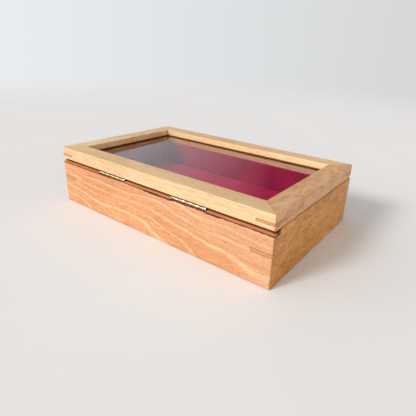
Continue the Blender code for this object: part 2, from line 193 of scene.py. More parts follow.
# One growth ring from its inner to its outer side: plain, a pale line, then a darker edge.
RING_PROFILE = [(0.0, (0.5, 0.5, 0.5)), (0.50, (0.5, 0.5, 0.5)), (0.68, (1.0, 1.0, 1.0)),
                (0.80, (0.62, 0.62, 0.62)), (0.88, (0.0, 0.0, 0.0)), (1.0, (0.5, 0.5, 0.5))]

# The notch along the hinge side: its inner edge, how far out from there it is darkened as painted shade
# (fully at the nearer distance, not at all at the farther), and the saw kerf along its lip.
BACK_FACE_Y = cad_box[1][1]
NOTCH_INNER_Y = BACK_FACE_Y - 8.2 * MM
NOTCH_SHADE_OUTER = 6.1 * MM
NOTCH_SHADE_INNER = 5.1 * MM
KERF_LOW = 43.95 * MM
KERF_HIGH = 44.68 * MM
# How far the kerf's painted shade reaches below it: at least, at most, and further along its black
# stretches.
KERF_SHADE_LEAST = -0.1 * MM
KERF_SHADE_MOST = 0.6 * MM
BLACK_SHADE_REACH = 0.6 * MM
# Stretches of the kerf along X where its painted shade is black, and how softly they end.
BLACK_SHADE_STRETCHES = ((-131 * MM, -126 * MM), (-82 * MM, -66 * MM), (-32 * MM, 4 * MM))
BLACK_SHADE_FADE = 2 * MM

# The back panel turns from orange to pinkish where height less this slope times X passes these heights.
DRIFT_SLOPE = 0.45
DRIFT_WANDER = 50 * MM
DRIFT_START = 25 * MM
DRIFT_END = 115 * MM

RING_WANDER = 18 * MM  # how far slow noise moves the growth rings
RING_TREMOR = 0.7 * MM  # how far fine noise moves them
GRAIN_DEPTH = 0.06 * MM
CREVICE_SHADE_REACH = 2.5 * MM  # how near a surface has to be to another to get painted shade
GLUE_WIDTH = 0.3 * MM
HINGE_SHADE_REACH = 2.2 * MM  # the same for the hinges' painted shade


def wood(name, tones, turn, seed, ring_gap=3.2 * MM, heart=(-0.06, -0.03), taper=0.05, figure=0.6,
         fleck=0.5, fleck_size=1.0, fleck_strength=0.6, blotch=0.0, extra=None):
    """Beech with growth rings about a heart line, broad tone drift, fibres and ray flecks.

    turn brings the grain onto X. heart is the ring centre's place across the grain, taper how fast
    the rings widen along it, and figure how strongly they show. fleck is the share of cells that hold
    a ray fleck. extra(tree, local, base) may add marks of one piece to the colour.
    """
    draw = random.Random(seed)
    material, tree = new_tree(name)
    local = tree.add("ShaderNodeTexCoord").outputs["Object"]
    grain = tree.place(local, rotation=(0, 0, turn))
    shifted = tree.place(grain, location=[draw.uniform(-2, 2) for _ in range(3)])

    # Growth rings: distance from the heart line, pushed about by slow noise that follows the grain.
    slow = tree.noise(tree.place(shifted, scale=(0.5, 1, 1)), scale=24, detail=1, roughness=0.4)
    fast = tree.noise(tree.place(shifted, scale=(0.12, 1, 1)), scale=260, detail=2, roughness=0.5)
    parts = tree.add("ShaderNodeSeparateXYZ", {0: grain}).outputs
    across = tree.maths("SUBTRACT", parts[1], heart[0])
    upward = tree.maths("SUBTRACT", parts[2], heart[1])
    radius = tree.maths("SQRT", tree.maths("ADD", tree.maths("MULTIPLY", across, across),
                                           tree.maths("MULTIPLY", upward, upward)))
    radius = tree.maths("MULTIPLY_ADD", parts[0], taper, radius)
    radius = tree.maths("MULTIPLY_ADD", slow, RING_WANDER, radius)
    radius = tree.maths("MULTIPLY_ADD", fast, RING_TREMOR, radius)
    turns = tree.maths("DIVIDE", radius, ring_gap)
    ring = tree.ramp(tree.maths("FRACT", turns), RING_PROFILE)
    ring_tone = tree.add("ShaderNodeTexWhiteNoise", {"W": tree.maths("FLOOR", turns)},
                         noise_dimensions="1D").outputs[0]
    line = tree.maths("MULTIPLY", tree.remap(ring, 0.5, 1.0), tree.remap(ring_tone, 0, 1, 0.45, 1.0))
    shade = tree.maths("MULTIPLY", tree.remap(ring, 0.5, 0.0), tree.remap(ring_tone, 0, 1, 0.9, 0.4))

    drift = tree.noise(tree.place(shifted, scale=(0.5, 1, 1)), scale=18, detail=2)
    fibre = tree.noise(tree.place(shifted, scale=(0.05, 1, 1)), scale=1700, detail=3, roughness=0.6)
    strand = tree.noise(tree.place(shifted, scale=(0.03, 1, 1)), scale=480, detail=2, roughness=0.6)

    base = tree.mix(tree.remap(drift, 0.38, 0.66, 0.0, 0.75, smooth=True), tones["ground"], tones["dark"])
    base = tree.mix(tree.maths("MULTIPLY", shade, figure), base, tones["dark"])
    base = tree.mix(tree.maths("MULTIPLY", line, figure), base, tones["pale"])
    base = tree.mix(tree.remap(strand, 0.45, 0.72, 0.0, 0.55), base, tones["dark"])
    base = tree.mix(tree.remap(fibre, 0.42, 0.70, 0.0, 0.6), base, tones["dark"], "MULTIPLY")
    if blotch:
        cloud = tree.noise(tree.place(shifted, scale=(0.45, 1, 1)), scale=130, detail=2, distortion=0.5)
        base = tree.mix(tree.remap(cloud, 0.42, 0.66, 0.0, blotch), base, tones["pale"])

    # Ray flecks: short dark lenses along the grain.
    cells = tree.place(shifted, scale=(0.22 / fleck_size, 1 / fleck_size, 1 / fleck_size))
    lens = tree.add("ShaderNodeTexVoronoi", {"Vector": cells, "Scale": 1250, "Randomness": 1.0})
    drawn = tree.add("ShaderNodeSeparateColor", {0: lens.outputs[1]}).outputs
    core = tree.remap(lens.outputs[0], 0.20, 0.46, 1.0, 0.0, smooth=True)
    mark = tree.maths("MULTIPLY", core, tree.maths("GREATER_THAN", drawn[0], 1 - fleck))
    mark = tree.maths("MULTIPLY", mark, tree.remap(drawn[1], 0, 1, 0.45 * fleck_strength, fleck_strength))
    base = tree.mix(mark, base, tones["fleck"])
    if extra is not None:
        base = extra(tree, local, base)

    # Painted shade: the colour turns darker in seams and inner corners, near other surfaces.
    painted_crevice_shade = tree.add("ShaderNodeAmbientOcclusion", {"Distance": CREVICE_SHADE_REACH}, samples=6).outputs["AO"]
    base = tree.mix(tree.remap(painted_crevice_shade, 0.25, 0.75, 0.65, 0.0), base, tones["fleck"], "MULTIPLY")

    rough = tree.maths("MULTIPLY_ADD", mark, 0.1, tree.remap(fibre, 0.3, 0.7, 0.42, 0.58))
    grooves = tree.maths("SUBTRACT", fibre, tree.maths("MULTIPLY", mark, 0.8))
    normal = tree.bump(grooves, strength=0.35, distance=GRAIN_DEPTH)
    finish_surface(tree, {"Base Color": base, "Roughness": rough, "Normal": normal,
                          "Specular IOR Level": 0.45})
    return material


def between(tree, value, low, high):
    """1 where value lies between low and high, else 0."""
    above = tree.maths("GREATER_THAN", value, low)
    return tree.maths("MULTIPLY", above, tree.maths("LESS_THAN", value, high))


def black_shade_share(tree, x):
    """1 along the stretches of the kerf with black painted shade, fading to 0 at their ends."""
    share = 0.0
    for low, high in BLACK_SHADE_STRETCHES:
        start = tree.remap(x, low - BLACK_SHADE_FADE, low + BLACK_SHADE_FADE)
        end = tree.remap(x, high + BLACK_SHADE_FADE, high - BLACK_SHADE_FADE)
        share = tree.maths("ADD", share, tree.maths("MULTIPLY", start, end))
    return share


def notch_tone_and_shade(tree, local, base):
    """The hinge notch is browner than the face and darker deep inside as painted shade; the saw kerf along
    its lip is painted dark as its shadow line, brown and in places black.
    """
    parts = tree.add("ShaderNodeSeparateXYZ", {0: local}).outputs
    in_notch = tree.maths("MULTIPLY", tree.maths("GREATER_THAN", parts[1], NOTCH_INNER_Y),
                          tree.maths("GREATER_THAN", parts[2], KERF_LOW))
    mottle = tree.noise(tree.place(local, scale=(1, 3, 3)), scale=90, detail=3, roughness=0.6)
    base = tree.mix(tree.maths("MULTIPLY", in_notch, tree.remap(mottle, 0.3, 0.7, 0.45, 0.8)), base,
                    NOTCH_BROWN, "MULTIPLY")
    # Painted shade: the notch darkens towards its inner edge, under the lid.
    notch_shade = tree.remap(parts[1], NOTCH_INNER_Y + NOTCH_SHADE_OUTER, NOTCH_INNER_Y + NOTCH_SHADE_INNER, 0.0, 0.9,
                      smooth=True)
    base = tree.mix(tree.maths("MULTIPLY", in_notch, notch_shade), base, NOTCH_SHADE_BROWN, "MULTIPLY")

    # The kerf's painted shade creeps a little over its lower edge onto the face.
    black_shade_stretch = black_shade_share(tree, parts[0])
    wander = tree.noise(tree.place(local, scale=(0.6, 1, 1)), scale=900, detail=3)
    creep = tree.remap(wander, 0.3, 0.7, KERF_SHADE_LEAST, KERF_SHADE_MOST)
    creep = tree.maths("MULTIPLY_ADD", black_shade_stretch, BLACK_SHADE_REACH, creep)
    above = tree.maths("GREATER_THAN", parts[2], tree.maths("SUBTRACT", KERF_LOW, creep))
    in_kerf = tree.maths("MULTIPLY", above, tree.maths("LESS_THAN", parts[2], KERF_HIGH))
    in_kerf = tree.maths("MULTIPLY", in_kerf, tree.maths("GREATER_THAN", parts[1], NOTCH_INNER_Y))
    # Painted shade of the kerf's gap: brown, and black along the listed stretches.
    black = tree.maths("MULTIPLY", black_shade_stretch, tree.remap(mottle, 0.3, 0.5, 0.5, 1.0))
    tone = tree.mix(black, KERF_SHADE_BROWN, KERF_SHADE_BLACK)
    return tree.mix(tree.maths("MULTIPLY", in_kerf, tree.remap(mottle, 0.35, 0.55, 0.75, 1.0)), base, tone)


def back_panel_marks(tree, local, base):
    """The board drifts from orange at the foot of one end to pinkish at the other."""
    parts = tree.add("ShaderNodeSeparateXYZ", {0: local}).outputs
    slant = tree.maths("MULTIPLY_ADD", parts[0], -DRIFT_SLOPE, parts[2])
    slant = tree.maths("MULTIPLY_ADD", tree.noise(local, scale=14, detail=2), DRIFT_WANDER, slant)
    drift = tree.remap(slant, DRIFT_START, DRIFT_END, 0.0, 0.42, smooth=True)
    return notch_tone_and_shade(tree, local, tree.mix(drift, base, PINK_BEECH))


def glue_lines(low, high):
    """Marks of thin dark glue lines along a key's upper and lower edges."""
    def mark(tree, local, base):
        height = tree.add("ShaderNodeSeparateXYZ", {0: local}).outputs[2]
        inside = between(tree, height, low + GLUE_WIDTH, high - GLUE_WIDTH)
        wander = tree.remap(tree.noise(local, scale=300, detail=2), 0.35, 0.65, 0.35, 0.9)
        edge = tree.maths("MULTIPLY", tree.maths("SUBTRACT", 1.0, inside), wander)
        return tree.mix(edge, base, GLUE_BROWN)
    return mark


def plywood(name):
    """Sheet of the bottom board: straight pale grain with a few darker strands."""
    material, tree = new_tree(name)
    local = tree.add("ShaderNodeTexCoord").outputs["Object"]
    strand = tree.noise(tree.place(local, scale=(0.03, 1, 1)), scale=420, detail=4, roughness=0.65)
    cloud = tree.noise(tree.place(local, scale=(0.6, 1, 1)), scale=22, detail=3)
    fibre = tree.noise(tree.place(local, scale=(0.02, 1, 1)), scale=2400, detail=2)
    base = tree.ramp(strand, [(0.3, linear(168, 128, 86)), (0.55, linear(200, 162, 116)),
                              (0.75, linear(216, 182, 138))])
    base = tree.mix(tree.remap(cloud, 0.35, 0.7, 0.0, 0.4), base, linear(176, 134, 92))
    normal = tree.bump(fibre, strength=0.4, distance=0.08 * MM)
    finish_surface(tree, {"Base Color": base, "Roughness": tree.remap(fibre, 0.3, 0.7, 0.6, 0.8),
                          "Normal": normal})
    return material


def paint(node, material):
    """Give a CAD node one material, in place of those that it came with."""
    mesh = NODES[node].data
    mesh.materials.clear()
    mesh.materials.append(material)
    for polygon in mesh.polygons:
        polygon.material_index = 0


# Grain directions of the frames' sides, and the ring centres of the case's boards.
GRAIN = {"back": GRAIN_ALONG_X, "left": GRAIN_ALONG_Y, "front": GRAIN_ALONG_X, "right": GRAIN_ALONG_Y}
CASE_HEARTS = {"back": (0.018, -0.016), "front": (-0.16, -0.02), "left": (-0.17, -0.03),
               "right": (-0.17, 0.05)}
KEY_DEGREES = {"back_left": -45, "front_right": -45, "back_right": 45, "front_left": 45}
PALE_RAILS = ("back", "front", "right")

CASE_LONG = {"tones": BEECH_CASE, "fleck": 0.75, "fleck_size": 0.9, "fleck_strength": 0.9, "figure": 1.0}
CASE_END = {"tones": BEECH_END, "fleck": 0.9, "fleck_size": 0.95, "fleck_strength": 0.8, "figure": 0.5,
            "blotch": 0.4}
LID_LONG = {"fleck": 0.35, "fleck_strength": 0.35}
LID_END = {"fleck": 0.6, "fleck_strength": 0.6, "blotch": 0.6}


def dress_timber():
    for number, side in enumerate(("back", "front", "left", "right")):
        turn = GRAIN[side]
        long_side = side in ("back", "front")
        case_look = CASE_LONG if long_side else CASE_END
        lid_look = LID_LONG if long_side else LID_END
        lid_tones = BEECH_LID if side in PALE_RAILS else BEECH_LID_PINK
        marks = back_panel_marks if side == "back" else notch_tone_and_shade
        paint(f"case_{side}_panel", wood(f"beech_case_{side}", turn=turn, seed=10 + number, taper=-0.05,
                                         ring_gap=5.4 * MM, heart=CASE_HEARTS[side], extra=marks,
                                         **case_look))
        paint(f"lid_{side}_rail", wood(f"beech_lid_{side}", lid_tones, turn, seed=30 + number,
                                       ring_gap=2.1 * MM, taper=0.03, figure=0.5, **lid_look))
        paint(f"glazing_bead_{side}", wood(f"bead_{side}", BEAD_WOOD, turn, seed=50 + number,
                                           ring_gap=1.8 * MM, fleck=0.3, figure=0.4))
    for number, (corner, degrees) in enumerate(KEY_DEGREES.items()):
        turn = math.radians(degrees)
        for label, seed in (("case", 70), ("lid", 80)):
            node = f"{label}_key_{corner}"
            low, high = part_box(node)
            paint(node, wood(f"key_{label}_{corner}", KEY_WOOD, turn, seed=seed + number, ring_gap=1.6 * MM,
                             fleck=0.3, figure=0.4, extra=glue_lines(low.z, high.z)))
    paint("case_bottom_board", plywood("bottom_board"))


# ---------------------------------------------------------------- velvet, card, glass, brass

# Lit and shaded copies of one velvet: the pad's is brighter, as painted light, and the walls' darker, as
# painted shade.
PAD_CRIMSON_LIT = {"low": linear(182, 6, 64), "ground": linear(208, 9, 78), "high": linear(226, 22, 94),
               "deep": linear(138, 3, 42), "rib": linear(232, 44, 106)}
WALL_CRIMSON_SHADED = {"low": linear(142, 10, 56), "ground": linear(166, 15, 72), "high": linear(188, 28, 90),
                "deep": linear(102, 5, 36), "rib": linear(192, 48, 100)}


def velvet(name, seed, tones):
    """Short pile with brushed patches and a soft bright edge."""
    draw = random.Random(seed)
    material, tree = new_tree(name)
    local = tree.place(tree.add("ShaderNodeTexCoord").outputs["Object"],
                       location=[draw.uniform(-1, 1) for _ in range(3)])
    brushed = tree.noise(tree.place(local, scale=(1, 0.5, 1)), scale=26, detail=3, roughness=0.55,
                         distortion=0.6)
    pile = tree.noise(local, scale=2600, detail=3, roughness=0.7)
    rib = tree.noise(tree.place(local, scale=(1, 0.12, 1)), scale=900, detail=2)
    base = tree.ramp(brushed, [(0.30, tones["low"]), (0.52, tones["ground"]), (0.75, tones["high"])])
    base = tree.mix(tree.remap(pile, 0.35, 0.7, 0.5, 0.0), base, tones["deep"])
    base = tree.mix(tree.remap(rib, 0.5, 0.75, 0.0, 0.25), base, tones["rib"])
    height = tree.maths("MULTIPLY_ADD", brushed, 2.0, pile)
    normal = tree.bump(height, strength=0.6, distance=0.25 * MM)
    finish_surface(tree, {"Base Color": base, "Roughness": tree.remap(pile, 0.3, 0.7, 0.8, 1.0),
                          "Normal": normal, "Sheen Weight": 0.5, "Sheen Roughness": 0.35,
                          "Sheen Tint": (0.95, 0.16, 0.40, 1.0), "Specular IOR Level": 0.06})
    return material


def card(name):
    """Dark maroon board with pressed fibres."""
    material, tree = new_tree(name)
    local = tree.add("ShaderNodeTexCoord").outputs["Object"]
    pulp = tree.noise(local, scale=900, detail=5, roughness=0.7)
    cloud = tree.noise(local, scale=40, detail=2)
    base = tree.ramp(pulp, [(0.3, linear(70, 14, 30)), (0.7, linear(104, 26, 46))])
    base = tree.mix(tree.remap(cloud, 0.4, 0.7, 0.0, 0.4), base, linear(86, 22, 38))
    finish_surface(tree, {"Base Color": base, "Roughness": tree.remap(pulp, 0.3, 0.7, 0.8, 0.95),
                          "Normal": tree.bump(pulp, strength=0.5, distance=0.1 * MM)})
    return material


def pane_glass(name):
    """Clear float glass that lets the lamps through, a little greener and darker in wiped patches."""
    material, tree = new_tree(name)
    local = tree.add("ShaderNodeTexCoord").outputs["Object"]
    smear = tree.noise(tree.place(local, scale=(1, 0.3, 1)), scale=18, detail=2, distortion=0.8)
    tint = tree.mix(tree.remap(smear, 0.35, 0.7), (0.97, 1.0, 0.985), (0.945, 0.975, 0.96))
    shader = tree.add("ShaderNodeBsdfPrincipled", {"Base Color": tint, "Roughness": 0.0,
                                                   "Transmission Weight": 1.0, "IOR": 1.5})
    clear = tree.add("ShaderNodeBsdfTransparent", {"Color": (0.93, 0.95, 0.94, 1.0)})
    path = tree.add("ShaderNodeLightPath")
    lamp_ray = tree.add("ShaderNodeMixShader", {0: path.outputs["Is Shadow Ray"], 1: shader.outputs[0],
                                                2: clear.outputs[0]})
    tree.add("ShaderNodeOutputMaterial", {"Surface": lamp_ray.outputs[0]})
    return material


def seal_shadow_line(name, low, high):
    """Dark seal whose colour is painted shade, standing for the shadow line at the foot of the rails; its
    upper edge is brown.
    """
    material, tree = new_tree(name)
    local = tree.add("ShaderNodeTexCoord").outputs["Object"]
    bloom = tree.noise(local, scale=420, detail=4, roughness=0.65)
    base = tree.ramp(bloom, [(0.4, linear(22, 7, 5)), (0.75, linear(46, 18, 12))])
    height = tree.add("ShaderNodeSeparateXYZ", {0: local}).outputs[2]
    edge = tree.remap(height, low + 0.35 * (high - low), low + 0.6 * (high - low), smooth=True)
    base = tree.mix(edge, base, linear(150, 92, 58))
    finish_surface(tree, {"Base Color": base, "Roughness": tree.remap(bloom, 0.3, 0.7, 0.6, 0.8),
                          "Normal": tree.bump(bloom, strength=0.3, distance=0.05 * MM),
                          "Specular IOR Level": 0.1})
    return material


def brass(name):
    """Drawn brass with fine scratches along it, with near-black painted shade where it is close to
    something.
    """
    material, tree = new_tree(name)
    local = tree.add("ShaderNodeTexCoord").outputs["Object"]
    cloud = tree.noise(local, scale=260, detail=4, roughness=0.6)
    scratches = tree.noise(tree.place(local, scale=(0.05, 1, 1)), scale=3200, detail=2)
    base = tree.ramp(cloud, [(0.30, linear(182, 156, 112)), (0.50, linear(212, 196, 154)),
                             (0.75, linear(230, 218, 184))])
    base = tree.mix(tree.remap(scratches, 0.45, 0.75, 0.0, 0.45), base, linear(134, 102, 62))
    # Painted shade: near-black, and rougher, where another surface is close.
    painted_crevice_shade = tree.add("ShaderNodeAmbientOcclusion", {"Distance": HINGE_SHADE_REACH}, samples=8).outputs["AO"]
    painted_shade_share = tree.remap(painted_crevice_shade, 0.40, 0.68, 1.0, 0.0, smooth=True)
    base = tree.mix(painted_shade_share, base, linear(24, 15, 10))
    rough = tree.maths("MULTIPLY_ADD", painted_shade_share, 0.35, tree.remap(cloud, 0.3, 0.7, 0.16, 0.08))
    normal = tree.bump(scratches, strength=0.1, distance=0.02 * MM)
    finish_surface(tree, {"Base Color": base, "Metallic": 1.0, "Roughness": rough, "Normal": normal})
    return material


# ---------------------------------------------------------------- pieces in general

def dress_piece(obj, material, body, smooth_angle=40):
    """Link a piece, give it its material, and say what it rides on."""
    bpy.context.scene.collection.objects.link(obj)
    obj.data.materials.clear()
    obj.data.materials.append(material)
    obj.data.shade_smooth()
    obj.data.set_sharp_from_angle(angle=math.radians(smooth_angle))
    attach(obj, body)
    return obj


def mesh_of(name, bm):
    """Turn a bmesh into a mesh with its faces pointing out."""
    bmesh.ops.recalc_face_normals(bm, faces=bm.faces)
    mesh = bpy.data.meshes.new(name)
    bm.to_mesh(mesh)
    bm.free()
    return mesh


def evaluated_mesh(obj):
    """The object's mesh with its modifiers applied."""
    depsgraph = bpy.context.evaluated_depsgraph_get()
    depsgraph.update()
    return bpy.data.meshes.new_from_object(obj.evaluated_get(depsgraph), depsgraph=depsgraph)


def slab(low, high):
    """Block between two corners."""
    bm = bmesh.new()
    size = Vector(high) - Vector(low)
    middle = (Vector(high) + Vector(low)) / 2
    place = Matrix.Translation(middle) @ Matrix.Diagonal((*size, 1.0))
    bmesh.ops.create_cube(bm, size=1.0, matrix=place)
    return bm


# ---------------------------------------------------------------- velvet pieces

LINING_ARC_STEPS = 8
LINING_FACE_STEPS = 6
LINING_STEP = 4 * MM
PILLOW = 0.15 * MM  # how much fuller a lining's face is at half height
RIPPLE_DEPTH = 0.12 * MM
RIPPLE_LENGTH = 9 * MM
RIPPLE_WAVES = 3
RIPPLE_RATES = (0.5, 1.6)
RIPPLE_PHASES = (0, 6.28)
RIPPLE_CALMING = 8  # the higher, the closer to the mitres the ripples reach

PAD_INSET = 0.3 * MM
PAD_TOP_DROP = 1.0 * MM
PAD_FOOT_GAP = 0.2 * MM
PAD_EDGE = 1.8 * MM
PAD_VOXEL = 2.6 * MM
PAD_PRESSURE = 4.0
PAD_LAST_FRAME = 20
PAD_MOVE_MOST = 1.2 * MM


def lining_section(thickness, height):
    """Outline of a strip, half-round on top; points are (depth from the wall, height)."""
    radius = thickness / 2
    points = [(0.0, 0.0)]
    for step in range(LINING_ARC_STEPS + 1):
        angle = math.pi - math.pi * step / LINING_ARC_STEPS
        points.append((radius + radius * math.cos(angle), height - radius + radius * math.sin(angle)))
    for step in range(1, LINING_FACE_STEPS + 1):
        drop = step / LINING_FACE_STEPS
        depth = thickness - PILLOW * (1 - math.sin(math.pi * drop))
        points.append((depth, (height - radius) * (1 - drop)))
    return points


def lining_form(node, side, waves):
    """Strip on the +Y wall, mitred at its ends, with shallow ripples across its face."""
    low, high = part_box(node)
    along, out = (0, 1) if side in ("back", "front") else (1, 0)
    half_run = high[along]
    reach = max(abs(low[out]), abs(high[out]))
    thickness = high[out] - low[out]
    section = lining_section(thickness, high.z - low.z)
    columns = int(2 * half_run / LINING_STEP)
    bm = bmesh.new()
    rings = []
    for column in range(columns + 1):
        share = 2 * column / columns - 1
        ring = []
        for depth, height in section:
            x = share * (half_run - depth)
            ripple = sum(math.sin(rate * x / RIPPLE_LENGTH + phase) for rate, phase in waves) / RIPPLE_WAVES
            sunk = RIPPLE_DEPTH * (1 - ripple) * (depth / thickness) * (1 - share ** RIPPLE_CALMING)
            ring.append(bm.verts.new((x, reach - depth + sunk, low.z + height)))
        rings.append(ring)
    for first, second in zip(rings, rings[1:]):
        for index in range(len(section)):
            after = (index + 1) % len(section)
            bm.faces.new((first[index], first[after], second[after], second[index]))
    bm.faces.new(rings[0])
    bm.faces.new(rings[-1])
    return bm


def make_linings(material):
    """Velvet drawn over card strips on the four inner walls."""
    draw = random.Random(11)
    for number, side in enumerate(("back", "left", "front", "right")):
        node = f"lining_{side}"
        waves = [(draw.uniform(*RIPPLE_RATES), draw.uniform(*RIPPLE_PHASES)) for _ in range(RIPPLE_WAVES)]
        bm = lining_form(node, side, waves)
        quarter_turns = Matrix.Rotation(math.radians(90 * number), 3, "Z")
        bmesh.ops.rotate(bm, verts=bm.verts, cent=(0, 0, 0), matrix=quarter_turns)
        name = f"velvet_{node}"
        piece = dress_piece(bpy.data.objects.new(name, mesh_of(name, bm)), material, "case")
        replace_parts(piece, node)


def pad_form(low, high):
    """Slab with rounded edges, a little smaller than the pad's space."""
    bm = slab(low + Vector((PAD_INSET, PAD_INSET, PAD_FOOT_GAP)),
              high - Vector((PAD_INSET, PAD_INSET, PAD_TOP_DROP)))
    bmesh.ops.bevel(bm, geom=list(bm.edges), offset=PAD_EDGE, segments=4, profile=0.5, affect="EDGES")
    return bm


def inflate(pad, low, high):
    """Blow the pad up by cloth pressure, and hold each point near its start and within the space."""
    start = [vert.co.copy() for vert in pad.data.vertices]
    settings = pad.modifiers.new("foam", "CLOTH").settings
    settings.quality = 6
    settings.use_pressure = True
    settings.uniform_pressure_force = PAD_PRESSURE
    settings.effector_weights.gravity = 0.0
    scene = bpy.context.scene
    for number in range(1, PAD_LAST_FRAME + 1):
        scene.frame_set(number)
    blown = evaluated_mesh(pad)
    pad.modifiers.clear()
    scene.frame_set(1)
    for vert, first in zip(blown.vertices, start):
        move = vert.co - first
        if move.length > PAD_MOVE_MOST:
            move *= PAD_MOVE_MOST / move.length
        place = first + move
        vert.co = [min(max(place[axis], low[axis]), high[axis]) for axis in range(3)]
    pad.data = blown


def make_pad(material):
    """Foam pad under velvet, in the space of its CAD solid."""
    low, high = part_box("coin_pad")
    mesh = bpy.data.meshes.new("velvet_coin_pad")
    form = pad_form(low, high)
    form.to_mesh(mesh)
    form.free()
    pad = bpy.data.objects.new("velvet_coin_pad", mesh)
    bpy.context.scene.collection.objects.link(pad)
    remesh = pad.modifiers.new("remesh", "REMESH")
    remesh.mode = "VOXEL"
    remesh.voxel_size = PAD_VOXEL
    pad.data = evaluated_mesh(pad)
    pad.modifiers.clear()
    inflate(pad, low, high)
    smooth = pad.modifiers.new("smooth", "SMOOTH")
    smooth.factor = 0.5
    smooth.iterations = 3
    finer = pad.modifiers.new("finer", "SUBSURF")
    finer.levels = 1
    finer.render_levels = 1
    pad.data = evaluated_mesh(pad)
    pad.modifiers.clear()
    bpy.context.scene.collection.objects.unlink(pad)
    dress_piece(pad, material, "case", smooth_angle=80)
    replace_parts(pad, "coin_pad")


# ---------------------------------------------------------------- brass hinges

# Each hinge's screw slots, in degrees: where they start, and how much further each next one is turned.
SLOT_STARTS = {"left_hinge": 240, "right_hinge": 300}
SLOT_STEP = 37
KNUCKLES = 5
CASE_KNUCKLES = (0, 2, 4)
LID_KNUCKLES = (1, 3)
FINE_SIDES = 48
SAME_PLACE = 1e-7  # metres
BARREL_TRIM = 0.4 * MM  # the visible barrel is this much slimmer than its CAD solid
KNUCKLE_ROOM = 0.3 * MM  # cut round the other leaf's knuckles
KNUCKLE_CHAMFER = 0.08 * MM
PLAY = 0.15 * MM  # at each side of a knuckle

# A plate's near and far faces from the pin's axis.
PLATE_GAP = 0.4 * MM
PLATE_OUTER = 1.8 * MM
PLATE_CORNER = 1.2 * MM

PIN_RADIUS = 1.0 * MM
PIN_PLAY = 0.05 * MM
PIN_CHAMFER = 0.3 * MM
CUTTER_PAST = 1 * MM  # the pin bore's and the driver slot's cutters reach this far outside

SCREW_INSET = 6 * MM
SCREW_XS = (-12.5 * MM, 0.0, 12.5 * MM)
SCREW_HEAD = 1.75 * MM
SCREW_SHANK = 0.95 * MM
SCREW_SIDES = 32
SCREW_POINT = 1.0 * MM
POINT_WIDTH = 0.7  # of the shank's radius, where the point starts
HEAD_BEVEL = 0.1 * MM
HEAD_RIM = 0.08 * MM
HEAD_FOOT = 0.05 * MM
THREAD_PITCH = 0.8 * MM
THREAD_VALLEY = 0.45  # of a pitch from the crest down to the root
THREAD_END = 0.9  # of a pitch to the next crest
THREAD_MARGIN = 1.6 * MM  # plain length below the head, and above the point
THREAD_ROOT = 0.74  # of the shank's radius
DRIVER_SLOT = (6 * MM, 0.5 * MM, 0.4 * MM)  # length, width, depth
SINK_MOUTH = SCREW_HEAD + 0.4 * MM
SINK_POINT = 0.4 * MM
SINK_DEPTH = 2.4 * MM
SINK_START = 0.2 * MM  # the countersink's cutter starts this far outside the plate


def rod(radius, x_low, x_high, chamfer=0.0):
    """Capped cylinder on the X axis, its end edges chamfered."""
    bm = bmesh.new()
    place = Matrix.Translation(((x_low + x_high) / 2, 0, 0)) @ Matrix.Rotation(math.pi / 2, 4, "Y")
    bmesh.ops.create_cone(bm, cap_ends=True, segments=FINE_SIDES, radius1=radius, radius2=radius,
                          depth=x_high - x_low, matrix=place)
    if chamfer:
        rims = [edge for edge in bm.edges if abs(edge.verts[0].co.x - edge.verts[1].co.x) < SAME_PLACE]
        bmesh.ops.bevel(bm, geom=rims, offset=chamfer, segments=2, profile=0.5, affect="EDGES")
    return bm


def helper(name, bm):
    """Object that carve uses and removes."""
    obj = bpy.data.objects.new(name, mesh_of(name, bm))
    bpy.context.scene.collection.objects.link(obj)
    return obj


def carve(name, form, steps):
    """Run Booleans on a form one by one and return its mesh; steps are (operation, bmesh)."""
    target = helper(name, form)
    tools = []
    for number, (operation, bm) in enumerate(steps):
        tool = helper(f"tool_{number}", bm)
        tools.append(tool)
        modifier = target.modifiers.new(f"step_{number}", "BOOLEAN")
        modifier.operation = operation
        modifier.solver = "EXACT"
        modifier.object = tool
    mesh = evaluated_mesh(target)
    for obj in (*tools, target):
        bpy.data.objects.remove(obj, do_unlink=True)
    return mesh


def knuckle_span(index, half, gap):
    """A knuckle's ends along X, drawn in by a gap."""
    pitch = 2 * half / KNUCKLES
    low = -half + index * pitch
    return low + gap, low + pitch - gap


def countersink(x, near, facing):
    """Cutter for a screw's head, wide at the plate's near face."""
    radii = (SINK_MOUTH, SINK_POINT) if facing > 0 else (SINK_POINT, SINK_MOUTH)
    middle_z = near - facing * SINK_START + facing * SINK_DEPTH / 2
    bm = bmesh.new()
    bmesh.ops.create_cone(bm, cap_ends=True, segments=SCREW_SIDES, radius1=radii[0], radius2=radii[1],
                          depth=SINK_DEPTH, matrix=Matrix.Translation((x, -SCREW_INSET, middle_z)))
    return bm


